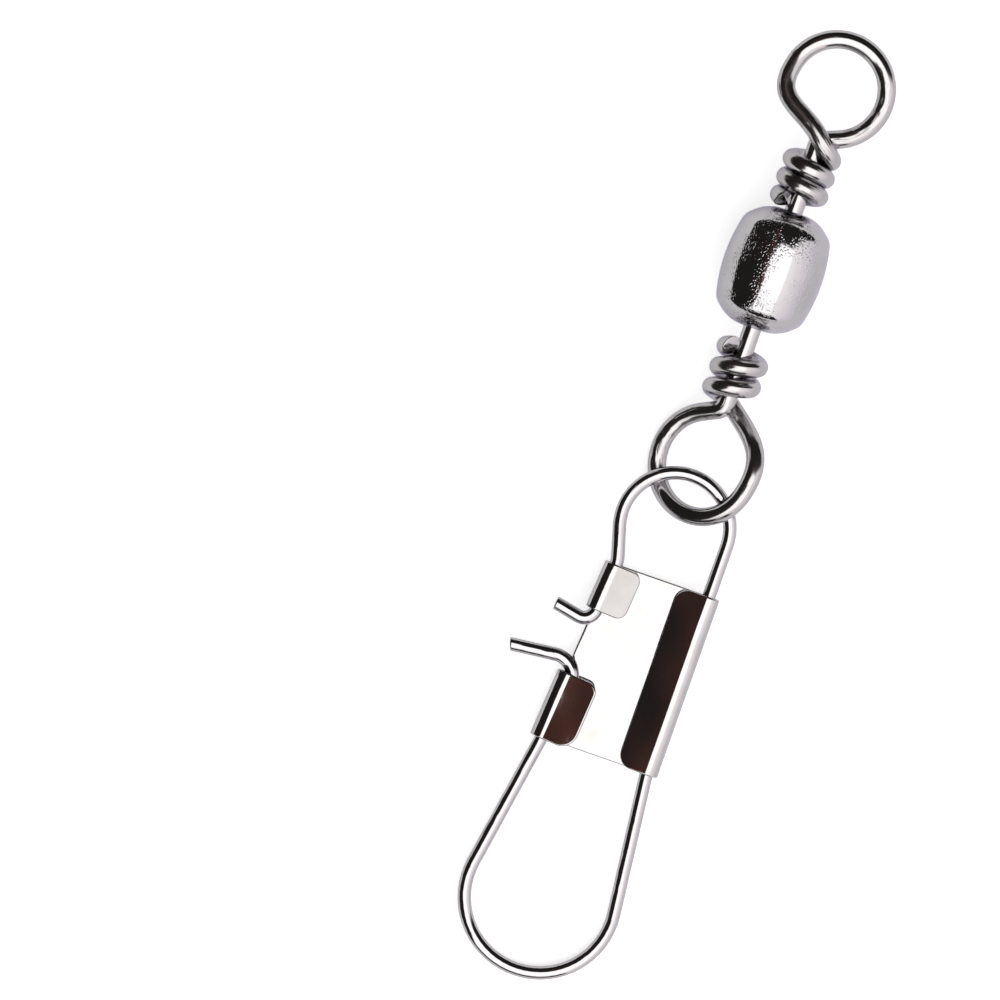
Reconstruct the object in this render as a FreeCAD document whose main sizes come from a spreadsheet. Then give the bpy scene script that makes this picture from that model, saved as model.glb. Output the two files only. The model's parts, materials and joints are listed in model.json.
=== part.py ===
"""A fishing snap swivel, lying on a table.

A barrel swivel with a twisted wire eye at each end carries a spring-wire snap: two round wire
loops held by a folded clip plate. Millimetres and degrees, +Z up, +Y from the snap toward the
line eye, and the table at z = 0 below the middle of the part.

Three frames are used. The swivel's frame has its origin at the barrel's middle and +Y along
its axis. An eye's own frame has +Y out of the barrel, with its ring in the XY plane. The snap's
frame has its origin at the clip plate's middle, on the swivel's line, with the wire in the
XY plane and +Y toward the swivel.
"""
import FreeCAD, Part
import math
import os
import Sketcher
from FreeCAD import Placement, Rotation, Vector

SIZES = [
    ("swivel_wire", 0.90, "wire of the two eyes"),
    ("running_gap", 0.05, "clearance of an eye's shank in the barrel"),
    ("barrel_length", 5.90, "barrel, over its two flat ends"),
    ("barrel_diameter", 4.90, "barrel at its middle"),
    ("barrel_crown", 0.30, "swell of the barrel's middle over the crease of each shoulder"),
    ("barrel_shoulder_length", 0.78, "from a flat end to its shoulder's crease"),
    ("barrel_end_diameter", 2.50, "flat ring round the shank at each end"),
    ("barrel_end_round", 0.15, "rounding of the flat end's rim"),
    ("barrel_wall", 0.40, "shell of the barrel"),
    ("eye_head_diameter", 1.70, "head upset on each shank inside the barrel"),
    ("eye_head_length", 0.80, "length of that head"),
    ("eye_head_bevel", 0.15, "bevel on the head's edges"),
    ("line_eye_float", 0.60, "line eye's head, back from the barrel's end wall"),
    ("line_ring_radius", 2.40, "line eye's ring, to the wire's centre"),
    ("line_ring_reach", 6.20, "barrel's end to the line eye's ring centre"),
    ("line_bend_radius", 0.40, "bend from the line eye's shank into its ring"),
    ("line_bend_start", 3.35, "barrel's end to that bend"),
    ("line_wrap_start", 3.10, "barrel's end to the first of the wraps"),
    ("line_wrap_rise", 0.62, "how much higher the wire comes in over the shank"),
    ("line_wrap_pitch", 0.92, "one wrap to the next on the line eye"),
    ("line_wrap_turns", 2.80, "turns wrapped round the line eye's shank"),
    ("line_wrap_lean", 0.01, "how far each wrap leans along the shank"),
    ("snap_eye_float", 0.05, "snap eye's head, back from the barrel's end wall"),
    ("snap_ring_radius", 2.55, "snap eye's ring, to the wire's centre"),
    ("snap_ring_reach", 6.96, "barrel's end to the snap eye's ring centre"),
    ("snap_bend_radius", 0.50, "bend from the snap eye's shank into its ring"),
    ("snap_bend_start", 3.83, "barrel's end to that bend"),
    ("snap_wrap_start", 3.61, "barrel's end to the first of the wraps"),
    ("snap_wrap_rise", 0.40, "how much higher the wire comes in over the shank"),
    ("snap_wrap_pitch", 1.04, "one wrap to the next on the snap eye"),
    ("snap_wrap_turns", 2.45, "turns wrapped round the snap eye's shank"),
    ("snap_wrap_lean", 0.03, "how far each wrap leans along the shank"),
    ("wrap_gap", 0.03, "clearance between a wrap and the shank inside it"),
    ("ring_leaves_at", 165.0, "where the wire leaves an eye's ring for its wraps"),
    ("ring_pull", 2.20, "how firmly the ring's end holds its direction there"),
    ("wrap_pull", 1.70, "how firmly the first wrap holds its direction"),
    ("snap_eye_roll", 28.0, "roll of the snap eye about the barrel's axis"),
    ("snap_wire", 0.66, "spring wire of the snap"),
    ("sheet", 0.20, "sheet of the clip plate"),
    ("grip_gap", 0.02, "clearance between the wire and the folded plate"),
    ("plate_length", 9.12, "clip plate along the snap"),
    ("spine_offset", 2.33, "straight spine and the long fold, right of the swivel's line"),
    ("fold_offset", 2.41, "left fold at the plate's top, left of the swivel's line"),
    ("fold_lean", 4.26, "slope of the left fold, outward toward the large loop"),
    ("plate_margin", 0.16, "plate's open left edge, outside the left fold"),
    ("long_flap_width", 1.53, "flap of the long right fold"),
    ("long_flap_slope", 11.0, "that flap, down toward its free edge"),
    ("flap_corner", 0.70, "rounded corners of the long flap"),
    ("upper_tab_length", 2.40, "left tab on the small loop's side"),
    ("upper_tab_width", 1.42, "that tab, from its fold to its free edge"),
    ("upper_tab_slope", 18.0, "that tab, down toward its free edge"),
    ("lower_tab_length", 3.41, "left tab that keeps the latch leg"),
    ("lower_tab_width", 1.50, "that tab, from its fold to its free edge"),
    ("lower_tab_rise", 10.5, "that tab, up toward its free edge"),
    ("tab_corner", 0.50, "rounded corners of the two tabs"),
    ("small_loop_radius", 2.66, "small loop, to the wire's centre"),
    ("small_loop_reach", 2.59, "plate's top edge to the small loop's centre"),
    ("knee_radius", 1.60, "slight bends where the wire enters the plate"),
    ("short_hook_radius", 0.62, "bend of the small loop's short hook, just past its tab"),
    ("short_hook_end", 4.56, "short hook's tip, left of the swivel's line"),
    ("short_hook_tip_drop", 2.71, "short hook's tip, below the plate's top edge"),
    ("large_loop_radius", 3.66, "large loop, to the wire's centre"),
    ("large_loop_reach", 7.34, "plate's bottom edge to the large loop's centre"),
    ("large_loop_offset", 0.54, "large loop's centre, left of the swivel's line"),
    ("long_hook_radius", 1.06, "bend of the latch leg's long hook"),
    ("long_hook_offset", 3.62, "that bend's centre, left of the swivel's line"),
    ("long_hook_rise", 3.00, "that bend's centre, above the plate's bottom edge"),
    ("long_hook_end", 6.03, "long hook's tip, left of the swivel's line"),
    ("long_hook_tip_rise", 3.80, "long hook's tip, above the plate's bottom edge"),
    ("link_lap", 1.88, "small loop's crown, back from the snap eye's crown"),
    ("link_cross", 0.90, "small loop's crown to where it crosses the ring"),
]

POINTS_PER_WRAP = 16


class Size:
    """A number together with the sheet formula that gives it, so one line sets both."""

    def __init__(self, value, formula):
        self.value = value
        self.formula = formula

    @staticmethod
    def of(number):
        return number if isinstance(number, Size) else Size(float(number), str(number))

    def join(self, sign, other, value):
        return Size(value, f"({self.formula} {sign} {Size.of(other).formula})")

    def __add__(self, other):
        return self.join("+", other, self.value + Size.of(other).value)

    def __sub__(self, other):
        return self.join("-", other, self.value - Size.of(other).value)

    def __mul__(self, other):
        return self.join("*", other, self.value * Size.of(other).value)

    def __truediv__(self, other):
        return self.join("/", other, self.value / Size.of(other).value)

    def __neg__(self):
        return Size(-self.value, f"(0 - {self.formula})")


def sine(angle):
    return Size(math.sin(math.radians(angle.value)), f"sin({angle.formula})")


def cosine(angle):
    return Size(math.cos(math.radians(angle.value)), f"cos({angle.formula})")


def tangent(angle):
    return Size(math.tan(math.radians(angle.value)), f"tan({angle.formula})")


def make_sheet(doc):
    """The sheet of driving sizes: a note, and the number under its alias."""
    sheet = doc.addObject("Spreadsheet::Sheet", "Sizes")
    for row, (alias, number, note) in enumerate(SIZES, start=1):
        sheet.set(f"A{row}", note)
        sheet.set(f"B{row}", str(number))
        sheet.setAlias(f"B{row}", alias)
    doc.recompute()
    return sheet


doc = FreeCAD.newDocument("SnapSwivel")
sheet = make_sheet(doc)


def size(alias):
    return Size(float(sheet.get(alias)), f"Sizes.{alias}")


def new_body(name):
    body = doc.addObject("PartDesign::Body", name)
    body.Label = name
    return body


def new_sketch(body, name, plane_role, offset=None):
    """A sketch on one of the body's own planes, moved along the plane's normal by offset."""
    plane = next(p for p in body.Origin.OriginFeatures if p.Role == plane_role)
    sketch = body.newObject("Sketcher::SketchObject", name)
    sketch.AttachmentSupport = [(plane, "")]
    sketch.MapMode = "FlatFace"
    if offset is not None:
        sketch.setExpression("AttachmentOffset.Base.z", offset.formula)
    return sketch


def bind(sketch, kind, where, amount):
    """A constraint of this kind whose value follows a sheet formula."""
    index = sketch.addConstraint(Sketcher.Constraint(kind, *where, amount.value))
    if "Sizes." in amount.formula:
        sketch.setExpression(f"Constraints[{index}]", amount.formula)


def pin_point(sketch, edge, end, x, y):
    bind(sketch, "DistanceX", (-1, 1, edge, end), x)
    bind(sketch, "DistanceY", (-1, 1, edge, end), y)


def arc_of(centre, radius, angle_from, angle_to, turn):
    """Arc traversed from one angle to the other; turn is 1 anticlockwise and -1 clockwise."""
    if turn < 0:
        angle_from, angle_to = angle_to, angle_from
    circle = Part.Circle(centre, Vector(0, 0, 1), radius)
    return Part.ArcOfCircle(circle, angle_from, angle_to)


def add_outline(sketch, corners):
    """A closed outline. Each corner is (x, y) or (x, y, (centre x, centre y, radius, turn)):
    the second form is followed by an arc, the first by a straight."""
    following = corners[1:] + corners[:1]
    ends = []
    for corner, after in zip(corners, following):
        begin = Vector(corner[0].value, corner[1].value, 0)
        finish = Vector(after[0].value, after[1].value, 0)
        if len(corner) == 2:
            sketch.addGeometry(Part.LineSegment(begin, finish), False)
            ends.append((1, 2))
            continue
        centre_x, centre_y, radius, turn = corner[2]
        centre = Vector(centre_x.value, centre_y.value, 0)
        angles = [math.atan2(p.y - centre.y, p.x - centre.x) for p in (begin, finish)]
        sketch.addGeometry(arc_of(centre, radius.value, *angles, turn), False)
        ends.append((1, 2) if turn > 0 else (2, 1))
    for edge, corner in enumerate(corners):
        before = edge - 1 if edge else len(corners) - 1
        sketch.addConstraint(
            Sketcher.Constraint("Coincident", before, ends[before][1], edge, ends[edge][0])
        )
        pin_point(sketch, edge, ends[edge][0], corner[0], corner[1])
        if len(corner) == 3:
            bind(sketch, "Radius", (edge,), corner[2][2])


def travel_angle(circle_a, circle_b):
    """Direction of travel along the straight that leaves one bend and meets the next."""
    (xa, ya, radius_a, turn_a), (xb, yb, radius_b, turn_b) = circle_a, circle_b
    across = turn_b * radius_b - turn_a * radius_a
    apart = math.hypot(xb - xa, yb - ya)
    return math.atan2(yb - ya, xb - xa) - math.asin(across / apart)


def add_wire_path(sketch, bends, tip_x, tip_y, first_heading):
    """An open path round bends (centre x, centre y, radius, turn), each joined to the next by
    the straight that touches both. It starts at the first bend's lowest point, travelling at
    first_heading, and ends at the tip."""
    circles = [(b[0].value, b[1].value, b[2].value, b[3]) for b in bends]
    tip = (tip_x.value, tip_y.value, 0.0, 1)
    headings = [first_heading]
    headings += [travel_angle(a, b) for a, b in zip(circles, circles[1:] + [tip])]
    arcs = []
    for (x, y, radius, turn), heading_in, heading_out in zip(circles, headings, headings[1:]):
        quarter = -turn * math.pi / 2
        arcs.append(
            arc_of(Vector(x, y, 0), radius, heading_in + quarter, heading_out + quarter, turn)
        )
    ends = [(1, 2) if turn > 0 else (2, 1) for _, _, _, turn in circles]

    def end_point(index, end):
        return arcs[index].StartPoint if ends[index][end] == 1 else arcs[index].EndPoint

    tip_point = Vector(tip_x.value, tip_y.value, 0)
    for index, bend in enumerate(bends):
        arc, straight = 2 * index, 2 * index + 1
        is_last = index == len(bends) - 1
        beyond = tip_point if is_last else end_point(index + 1, 0)
        sketch.addGeometry(arcs[index], False)
        sketch.addGeometry(Part.LineSegment(end_point(index, 1), beyond), False)
        pin_point(sketch, arc, 3, bend[0], bend[1])
        bind(sketch, "Radius", (arc,), bend[2])
        if index == 0:
            bind(sketch, "DistanceX", (-1, 1, arc, ends[index][0]), bend[0])
        else:
            joint = Sketcher.Constraint("Tangent", arc - 1, 2, arc, ends[index][0])
            sketch.addConstraint(joint)
        sketch.addConstraint(Sketcher.Constraint("Tangent", arc, ends[index][1], straight, 1))
    pin_point(sketch, 2 * len(bends) - 1, 2, tip_x, tip_y)


def revolve(body, sketch, name):
    feature = body.newObject("PartDesign::Revolution", name)
    feature.Profile = sketch
    feature.ReferenceAxis = (sketch, ["V_Axis"])
    feature.Angle = 360.0
    return feature


def make_barrel():
    """Hollow shell with a crowned middle, coned shoulders and a hole at each flat end."""
    body = new_body("barrel")
    wall = size("barrel_wall")
    end_y = size("barrel_length") / 2
    crease_y = end_y - size("barrel_shoulder_length")
    crown = size("barrel_crown")
    crease_r = size("barrel_diameter") / 2 - crown
    end_r = size("barrel_end_diameter") / 2
    hole_r = size("swivel_wire") / 2 + size("running_gap")
    outer_radius = (crease_y * crease_y + crown * crown) / (crown * 2)
    outer_x = size("barrel_diameter") / 2 - outer_radius
    inner_end_y = end_y - wall
    inner_y = crease_y - wall / 2
    inner_radius = (inner_y * inner_y + crown * crown) / (crown * 2)
    inner_x = size("barrel_diameter") / 2 - wall - inner_radius
    seat_r = end_r - wall / 2
    zero = Size(0.0, "0")
    sketch = new_sketch(body, "barrel_profile", "XY_Plane")
    add_outline(sketch, [
        (hole_r, end_y),
        (end_r, end_y),
        (crease_r, crease_y, (outer_x, zero, outer_radius, -1)),
        (crease_r, -crease_y),
        (end_r, -end_y),
        (hole_r, -end_y),
        (hole_r, -inner_end_y),
        (seat_r, -inner_end_y),
        (crease_r - wall, -inner_y, (inner_x, zero, inner_radius, 1)),
        (crease_r - wall, inner_y),
        (seat_r, inner_end_y),
        (hole_r, inner_end_y),
    ])
    shell = revolve(body, sketch, "barrel_shell")
    doc.recompute()
    rims = [
        f"Edge{i}" for i, edge in enumerate(shell.Shape.Edges, start=1)
        if isinstance(edge.Curve, Part.Circle) and abs(edge.Curve.Radius - end_r.value) < 1e-4
    ]
    rounding = body.newObject("PartDesign::Fillet", "barrel_end_rims")
    rounding.Base = (shell, rims)
    rounding.setExpression("Radius", "Sizes.barrel_end_round")
    return body


def fold_line_x(y):
    """Where the left fold lies at this height in the snap's frame."""
    top = size("plate_length") / 2
    return -size("fold_offset") - (top - y) * tangent(size("fold_lean"))


def fold_section(body, name, axis_x, from_y, side, width, slope):
    """A hairpin of sheet round the wire, seen along the fold: half a turn from the plate's face,
    then a flap that slopes toward the plate by this angle. side is 1 right and -1 left."""
    inner = size("snap_wire") / 2 + size("grip_gap")
    outer = inner + size("sheet")
    zero = Size(0.0, "0")
    towards = -sine(slope)
    upwards = cosine(slope)
    tip_x = -width
    tip_y = -width * tangent(slope)
    sketch = new_sketch(body, name, "XZ_Plane", -from_y)
    centre = axis_x

    def at(x, z):
        return (centre + x * side, z)

    bottom_inner = at(zero, -inner)
    bottom_outer = at(zero, -outer)
    top_outer = at(outer * towards, outer * upwards)
    tip_outer = at(tip_x + outer * towards, tip_y + outer * upwards)
    tip_inner = at(tip_x + inner * towards, tip_y + inner * upwards)
    top_inner = at(inner * towards, inner * upwards)
    add_outline(sketch, [
        bottom_inner,
        bottom_outer + ((centre, zero, outer, side),),
        top_outer,
        tip_outer,
        tip_inner,
        top_inner + ((centre, zero, inner, -side),),
    ])
    return sketch, tip_outer, tip_inner


def edges_between(shape, pairs):
    """Names of the shape's straight edges that join each pair of points."""
    names = []
    for first, second in pairs:
        for index, edge in enumerate(shape.Edges, start=1):
            points = [v.Point for v in edge.Vertexes]
            if len(points) != 2:
                continue
            ahead = points[0].distanceToPoint(first) + points[1].distanceToPoint(second)
            behind = points[1].distanceToPoint(first) + points[0].distanceToPoint(second)
            if min(ahead, behind) < 1e-4:
                names.append(f"Edge{index}")
    return names


def add_fold(body, name, from_y, length, axis_x, side, width, slope, lean):
    """A fold with its flap, run along the plate from from_y, and its flap's corner edges."""
    sketch, tip_outer, tip_inner = fold_section(
        body, f"{name}_section", axis_x, from_y, side, width, slope
    )
    pad = body.newObject("PartDesign::Pad", name)
    pad.Profile = sketch
    pad.UseCustomVector = True
    pad.AlongSketchNormal = True
    pad.Direction = Vector(math.sin(math.radians(lean.value)), math.cos(math.radians(lean.value)), 0)
    pad.setExpression("Direction.x", sine(lean).formula)
    pad.setExpression("Direction.y", cosine(lean).formula)
    pad.setExpression("Length", length.formula)
    doc.recompute()
    shift = length.value * math.tan(math.radians(lean.value))
    corners = []
    for y, dx in ((from_y.value, 0.0), (from_y.value + length.value, shift)):
        corners.append([Vector(p[0].value + dx, y, p[1].value) for p in (tip_outer, tip_inner)])
    return pad, corners


def make_clip_plate():
    """Flat back with one long fold over the spine and two tabs folded over the left legs."""
    body = new_body("clip_plate")
    level = size("snap_wire") / 2 + size("grip_gap") + size("sheet")
    top = size("plate_length") / 2
    upper_tab_end = top - size("upper_tab_length")
    lower_tab_top = size("lower_tab_length") - top
    spine_x = size("spine_offset")
    margin = size("plate_margin")
    back = new_sketch(body, "back_outline", "XY_Plane", -level)
    add_outline(back, [
        (fold_line_x(top), top),
        (spine_x, top),
        (spine_x, -top),
        (fold_line_x(-top), -top),
        (fold_line_x(lower_tab_top), lower_tab_top),
        (fold_line_x(lower_tab_top) - margin, lower_tab_top),
        (fold_line_x(upper_tab_end) - margin, upper_tab_end),
        (fold_line_x(upper_tab_end), upper_tab_end),
    ])
    plate = body.newObject("PartDesign::Pad", "back")
    plate.Profile = back
    plate.setExpression("Length", "Sizes.sheet")
    doc.recompute()
    level_lean = Size(0.0, "0")
    flap, flap_corners = add_fold(
        body, "long_fold", -top, size("plate_length"), spine_x, 1,
        size("long_flap_width"), size("long_flap_slope"), level_lean,
    )
    upper, upper_corners = add_fold(
        body, "upper_tab", upper_tab_end, size("upper_tab_length"), fold_line_x(upper_tab_end), -1,
        size("upper_tab_width"), size("upper_tab_slope"), size("fold_lean"),
    )
    lower, lower_corners = add_fold(
        body, "lower_tab", -top, size("lower_tab_length"), fold_line_x(-top), -1,
        size("lower_tab_width"), -size("lower_tab_rise"), size("fold_lean"),
    )
    base = lower
    for name, corners, radius in (
        ("flap_corners", flap_corners, "flap_corner"),
        ("tab_corners", upper_corners + lower_corners, "tab_corner"),
    ):
        rounding = body.newObject("PartDesign::Fillet", name)
        rounding.Base = (base, edges_between(base.Shape, corners))
        rounding.setExpression("Radius", f"Sizes.{radius}")
        doc.recompute()
        base = rounding
    return body


def large_loop_centre():
    """Centre of the large loop in the snap's frame."""
    return -size("large_loop_offset"), -size("plate_length") / 2 - size("large_loop_reach")


def add_pipe(body, bends, tip_x, tip_y, first_heading):
    """Round wire along a path that starts at the large loop's crown."""
    path = new_sketch(body, f"{body.Name}_path", "XY_Plane")
    add_wire_path(path, bends, tip_x, tip_y, first_heading)
    crown_x, centre_y = large_loop_centre()
    crown_y = centre_y - size("large_loop_radius")
    section = new_sketch(body, f"{body.Name}_section", "YZ_Plane", crown_x)
    radius = size("snap_wire") / 2
    circle = Part.Circle(Vector(crown_y.value, 0, 0), Vector(0, 0, 1), radius.value)
    section.addGeometry(circle, False)
    pin_point(section, 0, 3, crown_y, Size(0.0, "0"))
    bind(section, "Radius", (0,), radius)
    doc.recompute()
    pipe = body.newObject("PartDesign::AdditivePipe", f"{body.Name}_wire")
    pipe.Profile = section
    pipe.Spine = path


def make_snap_wire():
    """From the large loop's crown, up the spine, round the small loop and into the short hook."""
    body = new_body("snap_wire")
    top = size("plate_length") / 2
    knee = size("knee_radius")
    lean = size("fold_lean")
    spine_x = size("spine_offset")
    loop_x, loop_y = large_loop_centre()
    small_x = spine_x - size("small_loop_radius")
    small_y = top + size("small_loop_reach")
    hook = size("short_hook_radius")
    hook_y = top - size("upper_tab_length")
    hook_x = fold_line_x(hook_y)
    add_pipe(body, [
        (loop_x, loop_y, size("large_loop_radius"), 1),
        (spine_x + knee, -top, knee, -1),
        (small_x, small_y, size("small_loop_radius"), 1),
        (fold_line_x(top) - knee, top, knee, -1),
        (hook_x - hook * cosine(lean), hook_y + hook * sine(lean), hook, -1),
    ], -size("short_hook_end"), top - size("short_hook_tip_drop"), 0.0)
    return body


def make_latch_leg():
    """From the large loop's crown up the springy leg, under the lower tab and out as the long hook."""
    body = new_body("latch_leg")
    top = size("plate_length") / 2
    loop_x, loop_y = large_loop_centre()
    add_pipe(body, [
        (loop_x, loop_y, size("large_loop_radius"), -1),
        (-size("long_hook_offset"), size("long_hook_rise") - top, size("long_hook_radius"), 1),
    ], -size("long_hook_end"), size("long_hook_tip_rise") - top, math.pi)
    return body


def from_middle(alias):
    """A size that runs out from the barrel's end, measured from the barrel's middle instead."""
    return size("barrel_length").value / 2 + size(alias).value


def eye_curve(name, hand):
    """Centre line of a twisted eye in its own frame: a straight shank, a tight bend and a straight
    leg into the ring, the other leg back over the shank, and wraps down it. hand is 1 where the
    wire crosses the shank in front and -1 behind."""
    wire = size("swivel_wire").value
    ring = size(f"{name}_ring_radius").value
    reach = from_middle(f"{name}_ring_reach")
    bend = size(f"{name}_bend_radius").value
    pitch = size(f"{name}_wrap_pitch").value
    turns = size(f"{name}_wrap_turns").value
    lean = size(f"{name}_wrap_lean").value
    start = from_middle(f"{name}_wrap_start")
    rise = size(f"{name}_wrap_rise").value
    bend_y = from_middle(f"{name}_bend_start")
    wrap_radius = wire + size("wrap_gap").value
    quarter = math.pi / 2
    turned = quarter - travel_angle((bend, bend_y, bend, -1), (0, reach, ring, 1))
    ring_to = math.radians(size("ring_leaves_at").value)

    def on_bend(angle):
        return Vector(bend - bend * math.cos(angle), bend_y + bend * math.sin(angle), 0)

    def on_ring(angle):
        return Vector(ring * math.cos(angle), reach + ring * math.sin(angle), 0)

    def on_wrap(angle):
        along = start - pitch * angle / (2 * math.pi) + lean * math.sin(angle)
        along += rise * max(0.0, 1 - angle / quarter) ** 2
        return Vector(wrap_radius * math.sin(angle), along, hand * wrap_radius * math.cos(angle))

    shank = Part.LineSegment(Vector(0, head_inner_y(name), 0), Vector(0, bend_y, 0))
    corner = Part.Arc(on_bend(0), on_bend(turned / 2), on_bend(turned))
    leg = Part.LineSegment(on_bend(turned), on_ring(-turned))
    loop = Part.Arc(on_ring(-turned), on_ring((ring_to - turned) / 2), on_ring(ring_to))
    steps = round(turns * POINTS_PER_WRAP)
    wraps = Part.BSplineCurve()
    wraps.interpolate([on_wrap(turns * 2 * math.pi * i / steps) for i in range(steps + 1)])
    ring_heading = Vector(-math.sin(ring_to), math.cos(ring_to), 0)
    wrap_heading = wraps.tangent(wraps.FirstParameter)[0]
    crossing = Part.BezierCurve()
    crossing.setPoles([
        on_ring(ring_to),
        on_ring(ring_to) + ring_heading * size("ring_pull").value,
        on_wrap(0) - wrap_heading * size("wrap_pull").value,
        on_wrap(0),
    ])
    return [shank, corner, leg, loop, crossing, wraps]


def head_inner_y(name):
    """The inner face of the eye's head, measured out from the barrel's middle."""
    end_wall = size("barrel_length").value / 2 - size("barrel_wall").value
    return end_wall - size(f"{name}_eye_float").value - size("eye_head_length").value


def make_eye(name, hand):
    """A twisted wire eye: wire swept along its curve, with a bevelled head on the shank."""
    radius = size("swivel_wire").value / 2
    path = Part.Wire([curve.toShape() for curve in eye_curve(name, hand)])
    foot = Vector(0, head_inner_y(name), 0)
    section = Part.Wire(Part.makeCircle(radius, foot, Vector(0, 1, 0)))
    wire = path.makePipeShell([section], True, False)
    head = Part.makeCylinder(
        size("eye_head_diameter").value / 2, size("eye_head_length").value, foot, Vector(0, 1, 0)
    )
    rims = [e for e in head.Edges if isinstance(e.Curve, Part.Circle)]
    head = head.makeChamfer(size("eye_head_bevel").value, rims)
    feature = doc.addObject("Part::Feature", f"{name}_eye")
    feature.Label = f"{name}_eye"
    feature.Shape = wire.fuse(head).removeSplitter()
    return feature


def tilt(angle):
    """A nod about X that lowers the -Y end."""
    return Rotation(Vector(1, 0, 0), angle)


def placements():
    """Where the swivel, the two eyes and the snap lie. The barrel rests on its crown and leans
    until the snap eye's low side meets the table. The snap rests on its large loop's crown,
    and its wire passes through the middle of the ring where the two cross."""
    wire_r = size("swivel_wire").value / 2
    ring = size("snap_ring_radius").value
    reach = from_middle("snap_ring_reach")
    roll = size("snap_eye_roll").value
    barrel_r = size("barrel_diameter").value / 2
    drop = barrel_r - wire_r - ring * math.sin(math.radians(roll))
    nod = math.degrees(math.asin(drop / reach))
    swivel = Placement(Vector(0, 0, barrel_r), tilt(nod))
    turned_back = Rotation(Vector(0, 0, 1), 180)
    rolled = Rotation(Vector(0, 1, 0), -roll)
    snap_eye = swivel.multiply(Placement(Vector(), rolled.multiply(turned_back)))

    top = size("plate_length").value / 2
    crown_local = top + size("small_loop_reach").value + size("small_loop_radius").value
    crown_world = size("link_lap").value - reach - ring
    cross_world = crown_world - size("link_cross").value
    foot_local = -top - size("large_loop_reach").value - size("large_loop_radius").value
    foot_height = size("snap_wire").value / 2
    cross_height = barrel_r + cross_world * math.sin(math.radians(nod))
    foot_to_cross = crown_local - size("link_cross").value - foot_local
    snap_nod = math.degrees(math.asin((cross_height - foot_height) / foot_to_cross))
    middle = Vector(
        0,
        crown_world - crown_local * math.cos(math.radians(snap_nod)),
        foot_height - foot_local * math.sin(math.radians(snap_nod)),
    )
    snap = Placement(middle, tilt(snap_nod))
    return swivel, snap_eye, snap


def overall_box(parts):
    """The tight bounding box of all the pieces together."""
    together = Part.makeCompound([part.Shape for part in parts])
    return together.optimalBoundingBox(False, False)


def check(parts):
    """Every object must have computed, and every piece must be one sound solid."""
    for item in doc.Objects:
        if "Invalid" in item.State or "Error" in item.State:
            raise RuntimeError(f"{item.Name} did not compute: {item.State}")
    for part in parts:
        shape = part.Shape
        if shape.isNull() or not shape.isValid() or len(shape.Solids) != 1:
            raise RuntimeError(f"{part.Label} is not one valid solid")
        print(f"{part.Label}: {shape.Volume:.3f} cubic mm, {len(shape.Faces)} faces")


barrel = make_barrel()
line_eye = make_eye("line", 1)
snap_eye = make_eye("snap", -1)
clip_plate = make_clip_plate()
snap_wire = make_snap_wire()
latch_leg = make_latch_leg()
doc.recompute()

swivel_place, snap_eye_place, snap_place = placements()
barrel.Placement = swivel_place
line_eye.Placement = swivel_place
snap_eye.Placement = snap_eye_place
for piece in (clip_plate, snap_wire, latch_leg):
    piece.Placement = snap_place
doc.recompute()

pieces = [barrel, line_eye, snap_eye, clip_plate, snap_wire, latch_leg]
box = overall_box(pieces)
to_origin = Vector(-(box.XMin + box.XMax) / 2, -(box.YMin + box.YMax) / 2, -box.ZMin)
for piece in pieces:
    piece.Placement = Placement(piece.Placement.Base + to_origin, piece.Placement.Rotation)
doc.recompute()
check(pieces)
print(f"box {box.XLength:.2f} x {box.YLength:.2f} x {box.ZLength:.2f} mm")

os.makedirs("parts", exist_ok=True)
for piece in pieces:
    piece.Shape.exportStep(f"parts/{piece.Label}.step")
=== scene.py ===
# %% [markdown]
# # A fishing snap swivel in nickel plate
# The swivel is about 48 mm long: a hollow barrel, two wire eyes that turn in it, and a snap made
# of one springy wire held by a folded clip. Its sizes and joints are settled in the solid model,
# so the lesson starts by loading that model as a fixed frame. Everything made here is laid over
# it, in metres, in the same place.

# %% Load the solid model
import json
import math

import bmesh
import bpy
from mathutils import Matrix, Vector


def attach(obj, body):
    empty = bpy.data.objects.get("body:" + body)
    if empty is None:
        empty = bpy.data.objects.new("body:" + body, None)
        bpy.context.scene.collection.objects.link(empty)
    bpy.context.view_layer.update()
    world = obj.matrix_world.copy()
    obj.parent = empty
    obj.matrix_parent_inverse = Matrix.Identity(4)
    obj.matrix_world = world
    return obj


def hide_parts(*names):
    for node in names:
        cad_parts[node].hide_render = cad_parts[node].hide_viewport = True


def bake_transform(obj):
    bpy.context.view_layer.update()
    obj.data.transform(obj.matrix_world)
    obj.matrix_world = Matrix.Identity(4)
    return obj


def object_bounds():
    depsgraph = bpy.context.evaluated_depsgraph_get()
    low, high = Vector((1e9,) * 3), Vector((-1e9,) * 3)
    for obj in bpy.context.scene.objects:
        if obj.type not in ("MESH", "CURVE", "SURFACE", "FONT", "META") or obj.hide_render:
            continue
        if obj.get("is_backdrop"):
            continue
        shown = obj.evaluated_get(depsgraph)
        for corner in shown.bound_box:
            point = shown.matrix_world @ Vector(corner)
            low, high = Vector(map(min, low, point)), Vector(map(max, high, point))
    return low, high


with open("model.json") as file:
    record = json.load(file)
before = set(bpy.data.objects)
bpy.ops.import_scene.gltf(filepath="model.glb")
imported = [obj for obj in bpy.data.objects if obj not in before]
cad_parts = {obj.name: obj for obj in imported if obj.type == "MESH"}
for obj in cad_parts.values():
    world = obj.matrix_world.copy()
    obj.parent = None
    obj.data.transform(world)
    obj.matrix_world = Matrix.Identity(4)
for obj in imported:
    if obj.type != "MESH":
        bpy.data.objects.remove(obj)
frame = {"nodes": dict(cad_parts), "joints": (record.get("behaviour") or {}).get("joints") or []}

solid_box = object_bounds()
print("nodes:", sorted(frame["nodes"]))

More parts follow.
